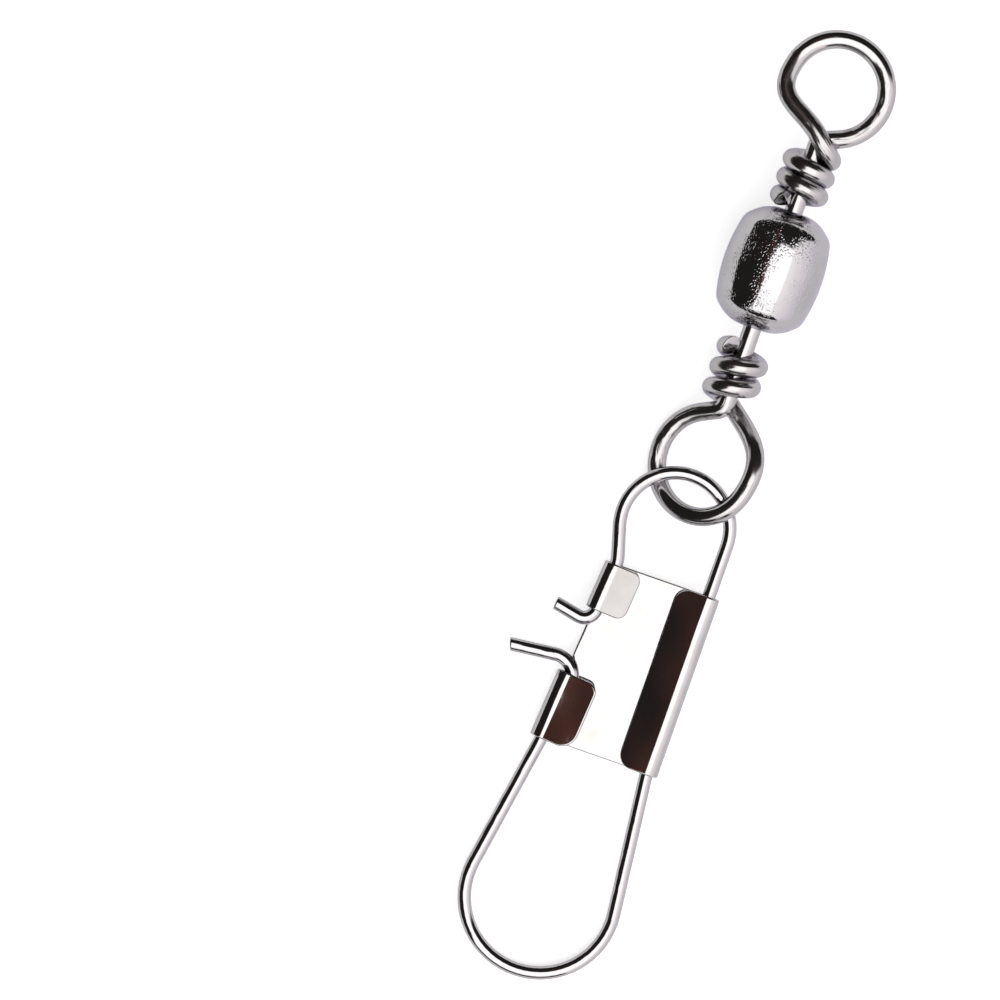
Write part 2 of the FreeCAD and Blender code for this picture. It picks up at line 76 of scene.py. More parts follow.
# %% [markdown]
# ## The sizes of the swivel
# A maker reads sizes from the drawing, so they come first and have names. They are the ones that
# drive the solid model, in millimetres, and angles are in degrees. Two names shorten the rest:
# MM turns millimetres into Blender's metres, and turn() turns degrees into radians.

# %% Sizes of the swivel
MM = 0.001

EYE_WIRE = 0.90 * MM
SPRING_WIRE = 0.66 * MM
SHEET = 0.20 * MM
GRIP_GAP = 0.02 * MM
WRAP_GAP = 0.03 * MM

BARREL_LENGTH = 5.90 * MM
BARREL_DIAMETER = 4.90 * MM
BARREL_CROWN = 0.30 * MM
SHOULDER_LENGTH = 0.78 * MM
BARREL_END_DIAMETER = 2.50 * MM
BARREL_WALL = 0.40 * MM
SHANK_GAP = 0.05 * MM

HEAD_DIAMETER = 1.70 * MM
HEAD_LENGTH = 0.80 * MM
HEAD_BEVEL = 0.15 * MM

PLATE_LENGTH = 9.12 * MM
PLATE_TOP = PLATE_LENGTH / 2
SPINE_OFFSET = 2.33 * MM
FOLD_OFFSET = 2.41 * MM
FOLD_LEAN = 4.26
PLATE_MARGIN = 0.16 * MM


def turn(degrees):
    """Degrees in radians."""
    return math.radians(degrees)


print(f"barrel {BARREL_LENGTH / MM:.2f} mm long, plate {PLATE_LENGTH / MM:.2f} mm long")

# %% [markdown]
# ## Three places to work in
# The barrel lies nodding on the table, the lower eye is rolled about its axis, and the snap lies
# at its own slope. Each piece is easier to draw straight, so each gets its own drawing place: a
# matrix that carries the piece from the drawing board to where it lies. The joints of the solid
# model hold all that these matrices need: a point on each axis and its direction.

# %% Drawing places read from the joints
SNAP_EYE_ROLL = 28.0
SMALL_LOOP_RADIUS = 2.66 * MM
SMALL_LOOP_REACH = 2.59 * MM
ACROSS = Vector((1, 0, 0))


def joint(name):
    """The joint of this name."""
    return next(j for j in frame["joints"] if j["name"] == name)


def place(origin, along):
    """A drawing place with X across the swivel and Y in the direction given."""
    upright = ACROSS.cross(along)
    axes = Matrix((ACROSS, along, upright)).transposed().to_4x4()
    return Matrix.Translation(origin) @ axes


swivel_axis = Vector(joint("line_eye_spin")["axis"]).normalized()
swivel_place = place(Vector(joint("line_eye_spin")["pos_m"]), swivel_axis)
snap_eye_place = (
    swivel_place
    @ Matrix.Rotation(turn(-SNAP_EYE_ROLL), 4, "Y")
    @ Matrix.Rotation(turn(180), 4, "Z")
)
snap_normal = Vector(joint("snap_swing")["axis"]).normalized()
small_loop_centre = Vector((SPINE_OFFSET - SMALL_LOOP_RADIUS, PLATE_TOP + SMALL_LOOP_REACH, 0))
snap_place = place(Vector(joint("snap_swing")["pos_m"]), snap_normal.cross(ACROSS))
snap_place = snap_place @ Matrix.Translation(-small_loop_centre)
print("barrel at", [round(v / MM, 2) for v in swivel_place.translation], "mm")
print("plate at", [round(v / MM, 2) for v in snap_place.translation], "mm")

# %% [markdown]
# ## From mesh to finished piece
# Every piece ends in the same way. Its bmesh is carried to its place, so the object itself stays
# untouched at the origin. Faces that meet at a shallow angle are shaded smooth, and sharp edges
# stay sharp. Doing this in one helper keeps the pieces alike.

# %% Finish a piece
SHARP_ANGLE = 38


def finish_piece(bm, name, where, body=None):
    """Carries a bmesh to its place and makes it an object that rides on a body."""
    bm.transform(where)
    mesh = bpy.data.meshes.new(name)
    bm.to_mesh(mesh)
    bm.free()
    mesh.shade_smooth()
    mesh.set_sharp_from_angle(angle=turn(SHARP_ANGLE))
    piece = bpy.data.objects.new(name, mesh)
    bpy.context.scene.collection.objects.link(piece)
    if body:
        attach(piece, body)
    print(f"{name}: {len(mesh.vertices)} vertices, {len(mesh.polygons)} faces")
    return piece


# %% [markdown]
# ## The barrel
# The real barrel is a short brass tube, swaged over at both ends and then nickel plated. It is
# round about its axis, so half of its section is enough: a few points, with the curved runs spun
# out of a single vertex, then the whole section is spun once round the axis. The shoulder's
# crease and rim are rounded with a bevel, because a swaged corner is never knife sharp.

# %% Draw half of the barrel's section
CROWN_STEPS = 14
ROUNDING_STEPS = 4
CREASE_ROUND = 0.22 * MM
RIM_ROUND = 0.60 * MM
HOLE_ROUND = 0.05 * MM
half_length = BARREL_LENGTH / 2
crease_y = half_length - SHOULDER_LENGTH
crease_x = BARREL_DIAMETER / 2 - BARREL_CROWN
hole_x = EYE_WIRE / 2 + SHANK_GAP


def arc_round(bm, vertex, middle, angle, steps):
    """Spins a vertex into an arc in the XY plane and gives back the arc's last vertex."""
    spun = bmesh.ops.spin(
        bm, geom=[vertex], cent=middle, axis=(0, 0, 1), angle=angle, steps=steps, use_merge=False
    )
    return next(part for part in spun["geom_last"] if isinstance(part, bmesh.types.BMVert))


def crowned_run(bm, vertex, end_y, swell):
    """An arc from this vertex to its mirror point, swelling outwards in its middle."""
    radius = (vertex.co.y ** 2 + swell ** 2) / (2 * swell)
    middle = Vector((vertex.co.x + swell - radius, 0, 0))
    half_angle = math.asin(abs(vertex.co.y) / radius)
    way = -1 if vertex.co.y > end_y else 1
    return arc_round(bm, vertex, middle, way * 2 * half_angle, CROWN_STEPS)


def straight_run(bm, vertex, *points):
    """Straight edges from this vertex through the points."""
    for x, y in points:
        vertex_after = bm.verts.new((x, y, 0))
        bm.edges.new((vertex, vertex_after))
        vertex = vertex_after
    return vertex


barrel_bm = bmesh.new()
outer_start = barrel_bm.verts.new((crease_x, crease_y, 0))
outer_end = crowned_run(barrel_bm, outer_start, -crease_y, BARREL_CROWN)
end_x = BARREL_END_DIAMETER / 2
seat_x = end_x - BARREL_WALL / 2
inner_y = crease_y - BARREL_WALL / 2
inner_end_y = half_length - BARREL_WALL
inner_start = straight_run(
    barrel_bm, outer_end,
    (end_x, -half_length), (hole_x, -half_length),
    (hole_x, -inner_end_y), (seat_x, -inner_end_y), (crease_x - BARREL_WALL, -inner_y),
)
inner_end = crowned_run(barrel_bm, inner_start, inner_y, BARREL_CROWN)
last = straight_run(
    barrel_bm, inner_end,
    (seat_x, inner_end_y), (hole_x, inner_end_y), (hole_x, half_length), (end_x, half_length),
)
barrel_bm.edges.new((last, outer_start))
print("section points:", len(barrel_bm.verts))

# %% [markdown]
# A bevel on single vertices rounds the section's corners before it is spun. The rim of each flat
# end gets a generous rounding, as swaging leaves it, and the crease a small one.

# %% Round the section and spin the barrel
BARREL_STEPS = 128
SAME_PLACE = 1e-7
MERGE_WITHIN = 0.0005 * MM


def corners_at(bm, x, y):
    """The vertices at this distance from the axis and this height, at both ends."""
    return [
        v for v in bm.verts
        if abs(v.co.x - x) < SAME_PLACE and abs(abs(v.co.y) - y) < SAME_PLACE
    ]


for corner_x, corner_y, rounding in (
    (crease_x, crease_y, CREASE_ROUND),
    (end_x, half_length, RIM_ROUND),
    (hole_x, half_length, HOLE_ROUND),
):
    bmesh.ops.bevel(
        barrel_bm, geom=corners_at(barrel_bm, corner_x, corner_y), offset=rounding,
        offset_type="OFFSET", segments=ROUNDING_STEPS, profile=0.5, affect="VERTICES", material=-1,
    )
bmesh.ops.spin(
    barrel_bm, geom=barrel_bm.verts[:] + barrel_bm.edges[:], cent=(0, 0, 0), axis=(0, 1, 0),
    angle=turn(360), steps=BARREL_STEPS, use_merge=True,
)
bmesh.ops.remove_doubles(barrel_bm, verts=barrel_bm.verts[:], dist=MERGE_WITHIN)
bmesh.ops.recalc_face_normals(barrel_bm, faces=barrel_bm.faces[:])
barrel_shell = finish_piece(barrel_bm, "barrel_shell", swivel_place, "barrel")
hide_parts("barrel")

# %% [markdown]
# ## Drawing wire
# All the rest but the clip is round wire. Wire could be a curve with a bevel, but a curve has no
# good ends, and wire on a real swivel is sheared off. So a ring of vertices is extruded from
# station to station along the wire's middle line and turned at each by just as much as the line
# turns, which keeps it from twisting. At each station the ring also notes where it would be if
# the wire were pulled straight, in an attribute named drawn, so that the finish can follow it.

# %% Note where a ring lies on the straight wire
RING_SIDES = 32


def note_drawn(layer, ring, distance, girth):
    """Writes the place of each of a ring's vertices on the straight wire."""
    for index, vertex in enumerate(ring):
        angle = turn(360) * index / len(ring)
        vertex[layer] = (girth * math.cos(angle), girth * math.sin(angle), distance)


print("wire has", RING_SIDES, "sides")

# %% [markdown]
# The wire itself is one ring, extruded and turned again and again. The helper hands back every
# ring it laid, with its heading, because the last few are needed for the end.

# %% Draw wire along stations
def next_ring(bm, ring):
    """Extrudes a ring's edges and gives back the new ring in the same order."""
    edges = [e for e in bm.edges if e.verts[0] in ring and e.verts[1] in ring]
    made = bmesh.ops.extrude_edge_only(bm, edges=edges)
    fresh = {g for g in made["geom"] if isinstance(g, bmesh.types.BMVert)}
    return [
        next(e.other_vert(v) for e in v.link_edges if e.other_vert(v) in fresh) for v in ring
    ]


def draw_wire(stations, radii=None, diameter=EYE_WIRE):
    """A bmesh of round wire through the stations, closed at both ends, and the rings that were
    laid, each with its middle, heading and distance. radii has the radius at each station."""
    radii = radii or [diameter / 2] * len(stations)
    bm = bmesh.new()
    drawn = bm.verts.layers.float_vector.new("drawn")
    heading = (stations[1] - stations[0]).normalized()
    facing = Vector((0, 0, 1)).rotation_difference(heading).to_matrix().to_4x4()
    circle = bmesh.ops.create_circle(
        bm, cap_ends=True, segments=RING_SIDES, radius=radii[0],
        matrix=Matrix.Translation(stations[0]) @ facing,
    )
    ring, travelled = circle["verts"], 0.0
    note_drawn(drawn, ring, travelled, radii[0])
    laid = [(ring, stations[0], heading, travelled)]
    for index in range(1, len(stations)):
        onward = stations[min(index + 1, len(stations) - 1)] - stations[index - 1]
        swing = heading.rotation_difference(onward.normalized()).to_matrix().to_4x4()
        scale = Matrix.Scale(radii[index] / radii[index - 1], 4)
        move = Matrix.Translation(stations[index]) @ swing @ scale
        ring = next_ring(bm, ring)
        bmesh.ops.transform(bm, matrix=move @ Matrix.Translation(-stations[index - 1]), verts=ring)
        travelled += (stations[index] - stations[index - 1]).length
        note_drawn(drawn, ring, travelled, radii[index])
        heading = onward.normalized()
        laid.append((ring, stations[index], heading, travelled))
    bmesh.ops.contextual_create(bm, geom=ring)
    bmesh.ops.recalc_face_normals(bm, faces=bm.faces[:])
    return bm, laid


print("wire helper ready")

# %% [markdown]
# Wire is cut with nippers, which leave a slanted face, or two faces with a ridge where the jaws
# met. The last rings are slid along the wire, each a little more than the one before and more
# toward its rim, the cap is split along the ridge, and a small bevel softens the rim.

# %% Nip a wire's end
NIP_STEPS = 3
NIP_REACH = 0.6 * MM
END_ROUND = 0.07 * MM
TIP_STATIONS = 5


def nip_end(bm, laid, lean, slants):
    """Slants the wire's end on both sides of its middle, by one angle on the side of the lean
    direction and by the other across from it, and rounds its rim."""
    wire_length = laid[-1][3]
    slopes = [math.tan(turn(slant)) for slant in slants]
    for ring, middle, heading, distance in laid:
        share = 1 - (wire_length - distance) / NIP_REACH
        if share <= 0:
            continue
        side = (lean - heading * lean.dot(heading)).normalized()
        for vertex in ring:
            out = (vertex.co - middle).dot(side)
            vertex.co -= heading * share * (slopes[0] * out if out > 0 else -slopes[1] * out)
    last_ring, middle = laid[-1][:2]
    ordered = sorted(last_ring, key=lambda v: abs((v.co - middle).dot(side)))
    ridge = [ordered[0], max(ordered[1:4], key=lambda v: (v.co - ordered[0].co).length)]
    bmesh.ops.connect_verts(bm, verts=ridge)
    rim = [
        e for e in bm.edges
        if e.verts[0] in last_ring and e.verts[1] in last_ring and set(e.verts) != set(ridge)
    ]
    bmesh.ops.bevel(
        bm, geom=rim, offset=END_ROUND, offset_type="OFFSET", segments=NIP_STEPS,
        profile=0.5, affect="EDGES", material=-1, clamp_overlap=True,
    )
    bmesh.ops.recalc_face_normals(bm, faces=bm.faces[:])


def stations_to(point, tip):
    """Stations on the last stretch before the tip, so that its end can be slanted."""
    back = (point - tip).normalized() * NIP_REACH
    return [tip + back * (TIP_STATIONS - n) / TIP_STATIONS for n in range(TIP_STATIONS + 1)]


print("nipper ready")

# %% [markdown]
# ## The middle line of an eye
# An eye starts with the upset head inside the barrel. Its straight shank leaves through the end
# hole, bends into the ring, and the wire comes back and is wrapped round its own shank. The line
# is worked out in stretches, each laid as a row of stations. The first helpers lay them along an
# arc and along a Bezier curve, and lift a row of them at one steady slope.

# %% Stations along arcs, curves and climbs
DEGREES_PER_STATION = 6
CLIMB_EASE = 0.14


def arc_stations(centre, radius, angle_from, angle_to):
    """Points on an arc in the XY plane, angles in radians, without its first point."""
    steps = max(2, round(abs(angle_to - angle_from) / turn(DEGREES_PER_STATION)))
    points = []
    for step in range(1, steps + 1):
        angle = angle_from + (angle_to - angle_from) * step / steps
        points.append(centre + radius * Vector((math.cos(angle), math.sin(angle), 0)))
    return points


def bezier_stations(corners, steps):
    """Points on a cubic Bezier curve, without its first point."""
    points = []
    for step in range(1, steps + 1):
        t = step / steps
        a, b, c, d = (1 - t) ** 3, 3 * t * (1 - t) ** 2, 3 * t * t * (1 - t), t ** 3
        points.append(a * corners[0] + b * corners[1] + c * corners[2] + d * corners[3])
    return points


def climb_share(share):
    """How far up a steady climb with eased ends is, at this share of its length."""
    if share < CLIMB_EASE:
        return share ** 2 / (2 * CLIMB_EASE) / (1 - CLIMB_EASE)
    if share > 1 - CLIMB_EASE:
        return 1 - climb_share(1 - share)
    return (share - CLIMB_EASE / 2) / (1 - CLIMB_EASE)


def climb_steadily(stations, first, height):
    """Raises the stations from this one on at one slope, up to this height at the last."""
    run = [0.0]
    for before, after in zip(stations[first:], stations[first + 1:]):
        run.append(run[-1] + math.hypot(after.x - before.x, after.y - before.y))
    for station, along in zip(stations[first:], run):
        station.z = height * climb_share(along / run[-1])


print("one station every", DEGREES_PER_STATION, "degrees")

# %% [markdown]
# The stretches are head, shank, bend, straight leg, ring, crossing and wraps. The crossing is a
# Bezier curve, because there the wire leaves the ring's plane and swings freely over the shank.
# On the line eye the wire climbs at one slope from the ring to the wraps. The wraps are a helix,
# whose first quarter turn reaches up toward the ring to meet the crossing.

# %% Stations of an eye
WRAP_RADIUS = EYE_WIRE + WRAP_GAP
HEAD_STEP = 0.01 * MM
SLIGHT_TURN = 0.001
CROSSING_STEPS = 24
CLIMB_FROM = 147.0
RING_LEAVES_AT = 165.0
RING_PULL = 2.20 * MM
WRAP_PULL = 1.70 * MM


def head_stations(eye):
    """Stations of the upset head inside the barrel, and the radius at each."""
    top = BARREL_LENGTH / 2 - BARREL_WALL - eye["float"]
    foot = top - HEAD_LENGTH
    ys = (foot, foot + HEAD_BEVEL, top - HEAD_BEVEL, top, top + HEAD_STEP)
    wide, narrow = HEAD_DIAMETER / 2, HEAD_DIAMETER / 2 - HEAD_BEVEL
    return [Vector((0, y, 0)) for y in ys], [narrow, wide, wide, narrow, EYE_WIRE / 2]


def wrap_point(eye, angle):
    """The point of the wraps at this angle round the shank."""
    y = eye["wrap_start"] - eye["pitch"] * angle / turn(360) + eye["lean"] * math.sin(angle)
    y += eye["rise"] * max(0.0, 1 - angle / turn(90)) ** 2
    return Vector((WRAP_RADIUS * math.sin(angle), y, eye["hand"] * WRAP_RADIUS * math.cos(angle)))


def eye_stations(eye):
    """Stations of one eye in its own place, and the wire's radius at each."""
    ring, reach, bend, bend_y = eye["ring"], eye["reach"], eye["bend"], eye["bend_start"]
    leg_across = math.asin((ring + bend) / math.hypot(bend, reach - bend_y))
    turned = turn(90) - math.atan2(reach - bend_y, -bend) + leg_across
    ring_to = turn(RING_LEAVES_AT)
    stations, radii = head_stations(eye)
    stations.append(Vector((0, bend_y, 0)))
    stations += arc_stations(Vector((bend, bend_y, 0)), bend, turn(180), turn(180) - turned)
    stations.append(Vector((ring * math.cos(turned), reach - ring * math.sin(turned), 0)))
    stations += arc_stations(Vector((0, reach, 0)), ring, -turned, ring_to)
    leaving = Vector((-math.sin(ring_to), math.cos(ring_to), 0))
    wraps_start = wrap_point(eye, 0)
    arriving = (wrap_point(eye, SLIGHT_TURN) - wraps_start).normalized()
    pulls = (stations[-1] + leaving * RING_PULL, wraps_start - arriving * WRAP_PULL)
    stations += bezier_stations((stations[-1], *pulls, wraps_start), CROSSING_STEPS)
    if eye["climbs"]:
        climb_steps = round((RING_LEAVES_AT - CLIMB_FROM) / DEGREES_PER_STATION)
        first = len(stations) - 1 - CROSSING_STEPS - climb_steps
        climb_steadily(stations, first, eye["hand"] * WRAP_RADIUS)
    wrap_steps = round(eye["turns"] * 360 / DEGREES_PER_STATION)
    for step in range(1, wrap_steps + 1):
        stations.append(wrap_point(eye, eye["turns"] * turn(360) * step / wrap_steps))
    radii += [EYE_WIRE / 2] * (len(stations) - len(radii))
    return stations, radii


print(f"wraps lie {WRAP_RADIUS / MM:.2f} mm from the shank's middle")

# %% [markdown]
# The two eyes are bent by the same tool but not to the same size: the snap's eye is a little
# larger and pear shaped, with a wider bend. Lengths along the swivel are measured from the
# barrel's flat end. The last wraps end at different places round the shank, and each end is
# sheared at a slant.

# %% Make the two eyes
BARREL_END = BARREL_LENGTH / 2
LINE_EYE = {
    "ring": 2.40 * MM, "reach": BARREL_END + 6.20 * MM, "bend": 0.40 * MM,
    "bend_start": BARREL_END + 3.35 * MM, "wrap_start": BARREL_END + 3.10 * MM, "rise": 0.62 * MM,
    "pitch": 0.91 * MM, "turns": 2.90, "lean": 0.01 * MM, "float": 0.60 * MM, "hand": 1,
    "climbs": True,
}
SNAP_EYE = {
    "ring": 2.55 * MM, "reach": BARREL_END + 6.96 * MM, "bend": 0.50 * MM,
    "bend_start": BARREL_END + 3.83 * MM, "wrap_start": BARREL_END + 3.61 * MM, "rise": 0.40 * MM,
    "pitch": 1.04 * MM, "turns": 2.45, "lean": 0.03 * MM, "float": 0.05 * MM, "hand": -1,
    "climbs": False,
}


def make_eye(name, eye, where, body, lean, slants):
    """One eye of round wire with its upset head and its nipped end."""
    stations, radii = eye_stations(eye)
    bm, laid = draw_wire(stations, radii)
    nip_end(bm, laid, Vector(lean), slants)
    return finish_piece(bm, name, where, body)


line_eye_wire = make_eye(
    "line_eye_wire", LINE_EYE, swivel_place, "line_eye", lean=(-0.75, -1.0, 0.0), slants=(42, 14)
)
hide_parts("line_eye")
snap_eye_wire = make_eye(
    "snap_eye_wire", SNAP_EYE, snap_eye_place, "snap_eye", lean=(-0.2, 1.0, 0.3), slants=(34, -20)
)
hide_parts("snap_eye")

# %% [markdown]
# ## The spring wire's route
# The snap is one length of spring wire bent flat: short hook, small loop, straight spine, large
# loop, leg and long hook. On a bending jig each bend goes round a peg and the wire runs straight
# to the next, so the route is a list of pegs: centre, radius, and which way the wire goes round.
# The straights that touch two pegs follow from them.

# %% Route round pegs
def heading_between(peg, peg_after):
    """The direction of the straight that leaves one peg and meets the next."""
    centre, radius, way = peg
    centre_after, radius_after, way_after = peg_after
    apart = centre_after - centre
    across = (way_after * radius_after - way * radius) / apart.length
    return math.atan2(apart.y, apart.x) - math.asin(across)


def route_round_pegs(start, pegs, tip):
    """Stations from the start point round every peg to the tip."""
    stops = [(start, 0.0, 1)] + pegs + [(tip, 0.0, 1)]
    headings = [heading_between(a, b) for a, b in zip(stops, stops[1:])]
    stations = [start]
    for peg, arriving, leaving in zip(pegs, headings, headings[1:]):
        centre, radius, way = peg
        quarter = -way * turn(90)
        swept = (leaving - arriving) % turn(360)
        if way < 0:
            swept -= turn(360)
        first = arriving + quarter
        stations.append(centre + radius * Vector((math.cos(first), math.sin(first), 0)))
        stations += arc_stations(centre, radius, first, first + swept)
    return stations + stations_to(stations[-1], tip)


def fold_x(y):
    """Where the left fold lies at this height on the snap's drawing."""
    return -FOLD_OFFSET - (PLATE_TOP - y) * math.tan(turn(FOLD_LEAN))


fold_ends = [round(fold_x(y) / MM, 2) for y in (PLATE_TOP, -PLATE_TOP)]
print("left fold runs from and to:", fold_ends, "mm")

# %% [markdown]
# The wire is made in two pieces that meet out of sight inside the long fold. The upper piece,
# with the small loop and the short hook, is held by the clip and never moves in it. The lower
# piece, with the large loop, is the spring: pressing the leg unhooks it.

# %% The small loop and short hook
SHORT_HOOK_RADIUS = 0.62 * MM
SHORT_HOOK_END = 4.56 * MM
SHORT_HOOK_DROP = 2.71 * MM
UPPER_TAB_LENGTH = 2.40 * MM
KNEE_RADIUS = 1.60 * MM
MEETING_Y = -3.9 * MM
hook_y = PLATE_TOP - UPPER_TAB_LENGTH
hook_centre = Vector((
    fold_x(hook_y) - SHORT_HOOK_RADIUS * math.cos(turn(FOLD_LEAN)),
    hook_y + SHORT_HOOK_RADIUS * math.sin(turn(FOLD_LEAN)),
    0,
))
short_tip = Vector((-SHORT_HOOK_END, PLATE_TOP - SHORT_HOOK_DROP, 0))
small_loop_route = route_round_pegs(
    Vector((SPINE_OFFSET, MEETING_Y, 0)),
    [
        (small_loop_centre, SMALL_LOOP_RADIUS, 1),
        (Vector((fold_x(PLATE_TOP) - KNEE_RADIUS, PLATE_TOP, 0)), KNEE_RADIUS, -1),
        (hook_centre, SHORT_HOOK_RADIUS, -1),
    ],
    short_tip,
)
small_loop_bm, small_loop_laid = draw_wire(small_loop_route, diameter=SPRING_WIRE)
nip_end(small_loop_bm, small_loop_laid, lean=Vector((0, 1, 0)), slants=(-6, 6))
small_loop_wire = finish_piece(small_loop_bm, "small_loop_wire", snap_place, "snap")
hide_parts("snap_wire")

# %% [markdown]
# The lower piece is drawn round its own pegs, from the meeting point to the long hook's tip. It
# rides on no body, and its place is baked into its mesh.

# %% The large loop, leg and long hook
LARGE_LOOP_RADIUS = 3.66 * MM
LARGE_LOOP_REACH = 7.34 * MM
LARGE_LOOP_OFFSET = 0.54 * MM
LONG_HOOK_RADIUS = 1.06 * MM
LONG_HOOK_OFFSET = 3.62 * MM
LONG_HOOK_RISE = 3.00 * MM
LONG_HOOK_END = 5.98 * MM
LONG_HOOK_TIP_RISE = 3.80 * MM
large_loop_centre = Vector((-LARGE_LOOP_OFFSET, -PLATE_TOP - LARGE_LOOP_REACH, 0))
long_hook_centre = Vector((-LONG_HOOK_OFFSET, LONG_HOOK_RISE - PLATE_TOP, 0))
long_tip = Vector((-LONG_HOOK_END, LONG_HOOK_TIP_RISE - PLATE_TOP, 0))
large_loop_route = route_round_pegs(
    Vector((SPINE_OFFSET, MEETING_Y, 0)),
    [
        (Vector((SPINE_OFFSET + KNEE_RADIUS, -PLATE_TOP, 0)), KNEE_RADIUS, 1),
        (large_loop_centre, LARGE_LOOP_RADIUS, -1),
        (long_hook_centre, LONG_HOOK_RADIUS, 1),
    ],
    long_tip,
)
large_loop_bm, large_loop_laid = draw_wire(large_loop_route, diameter=SPRING_WIRE)
nip_end(large_loop_bm, large_loop_laid, lean=Vector((0, -1, 0)), slants=(12, -12))
large_loop_wire = finish_piece(large_loop_bm, "large_loop_wire", snap_place)
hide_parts("snap_wire", "latch_leg")
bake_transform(large_loop_wire)

# %% [markdown]
# ## The clip
# The clip is sheet steel, blanked flat and folded in a press: one long fold wraps the spine, and
# two tabs on the other side wrap the short hook's leg and keep the latch leg. The mesh is made
# the same way. It starts as the flat back, and each fold is its edge spun about the fold's axis,
# then extruded as a flap. Above and below the bare left margin the back has a short strip of
# faces, so that the rounding of its edges has room to end.

# %% The flat back of the clip
FOLD_INNER = SPRING_WIRE / 2 + GRIP_GAP
LOWER_TAB_LENGTH = 3.41 * MM
RELIEF = 0.14 * MM
back_z = -FOLD_INNER
upper_tab_end = PLATE_TOP - UPPER_TAB_LENGTH
lower_tab_top = LOWER_TAB_LENGTH - PLATE_TOP
clip_bm = bmesh.new()
left_ys = (
    PLATE_TOP, upper_tab_end, upper_tab_end - RELIEF, lower_tab_top + RELIEF, lower_tab_top,
    -PLATE_TOP,
)
left_row = [clip_bm.verts.new((fold_x(y), y, back_z)) for y in left_ys]
right_row = [clip_bm.verts.new((SPINE_OFFSET, y, back_z)) for y in left_ys]
for row in range(len(left_ys) - 1):
    clip_bm.faces.new((left_row[row], left_row[row + 1], right_row[row + 1], right_row[row]))
margin_edge = clip_bm.edges.get(left_row[2:4])
margin = bmesh.ops.extrude_edge_only(clip_bm, edges=[margin_edge])
margin_verts = [g for g in margin["geom"] if isinstance(g, bmesh.types.BMVert)]
bmesh.ops.translate(clip_bm, verts=margin_verts, vec=(-PLATE_MARGIN, 0, 0))
print("back of the clip:", len(clip_bm.faces), "faces")

# %% [markdown]
# A fold turns the sheet by a little more than half a turn, so that its flap dips toward the
# back, or by a little less where it springs open. The lower tab on this clip stands open, as it
# has to let the latch leg slide in. Its fold goes a few degrees too far first and then springs
# back, which leaves the narrow bright crest along it.

# %% Fold the flap and the tabs
FOLD_STEPS = 14
CREST = 0.11 * MM
CREST_DIP = 3.0
LONG_FLAP_WIDTH, LONG_FLAP_SLOPE = 1.43 * MM, 13.5
UPPER_TAB_WIDTH, UPPER_TAB_SLOPE = 1.27 * MM, 18.0
LOWER_TAB_WIDTH, LOWER_TAB_RISE = 1.60 * MM, 10.5
fold_lean_axis = Vector((math.sin(turn(FOLD_LEAN)), math.cos(turn(FOLD_LEAN)), 0))


def fold_edge(bm, edges, on_axis, axis, angle, width, flare=0.0):
    """Spins edges about the fold's axis, extrudes the flap, and returns the free edge's ends.
    With a flare the fold goes past that far, runs on for a crest, and then springs back."""
    ends = {v for e in edges for v in e.verts}
    spun = bmesh.ops.spin(
        bm, geom=list(ends) + edges, cent=on_axis, axis=axis, angle=angle + flare,
        steps=FOLD_STEPS, use_merge=False,
    )
    last_edges = [g for g in spun["geom_last"] if isinstance(g, bmesh.types.BMEdge)]
    one = last_edges[0].verts[0]
    arm = one.co - on_axis
    arm -= axis * arm.dot(axis)
    outward = axis.cross(arm).normalized() * (1 if angle > 0 else -1)
    if flare:
        crest = bmesh.ops.extrude_edge_only(bm, edges=last_edges)
        crest_verts = [g for g in crest["geom"] if isinstance(g, bmesh.types.BMVert)]
        last_edges = [g for g in crest["geom"] if isinstance(g, bmesh.types.BMEdge)]
        last_edges = [e for e in last_edges if all(v in crest_verts for v in e.verts)]
        bmesh.ops.translate(bm, verts=crest_verts, vec=outward * CREST)
        outward = Matrix.Rotation(-flare, 3, axis) @ outward
        width -= CREST
    flap = bmesh.ops.extrude_edge_only(bm, edges=last_edges)
    flap_verts = [g for g in flap["geom"] if isinstance(g, bmesh.types.BMVert)]
    bmesh.ops.translate(bm, verts=flap_verts, vec=outward * width)
    rows = sorted(flap_verts, key=lambda v: v.co.y)
    return [rows[0], rows[-1]]


right_edges = [clip_bm.edges.get(pair) for pair in zip(right_row, right_row[1:])]
flap_ends = fold_edge(
    clip_bm, right_edges, Vector((SPINE_OFFSET, 0, 0)), Vector((0, 1, 0)),
    -turn(180 + LONG_FLAP_SLOPE), LONG_FLAP_WIDTH / math.cos(turn(LONG_FLAP_SLOPE)),
)
upper_ends = fold_edge(
    clip_bm, [clip_bm.edges.get(left_row[:2])], Vector((fold_x(PLATE_TOP), PLATE_TOP, 0)),
    fold_lean_axis, turn(180 + UPPER_TAB_SLOPE), UPPER_TAB_WIDTH / math.cos(turn(UPPER_TAB_SLOPE)),
)
lower_ends = fold_edge(
    clip_bm, [clip_bm.edges.get(left_row[4:])], Vector((fold_x(-PLATE_TOP), -PLATE_TOP, 0)),
    fold_lean_axis, turn(180 - LOWER_TAB_RISE), LOWER_TAB_WIDTH / math.cos(turn(LOWER_TAB_RISE)),
    flare=turn(LOWER_TAB_RISE + CREST_DIP),
)
print("folded clip:", len(clip_bm.faces), "faces")

# %% [markdown]
# The press tool has round corners, so the free corners of the flap and tabs are bevelled as
# vertices. Then Solidify gives the sheet its thickness on the outside of the folds, and a fine
# Bevel rounds the sheared edges, which is what draws the thin bright line round every flap. The
# Weighted Normal modifier keeps the flats shaded flat beside those roundings.

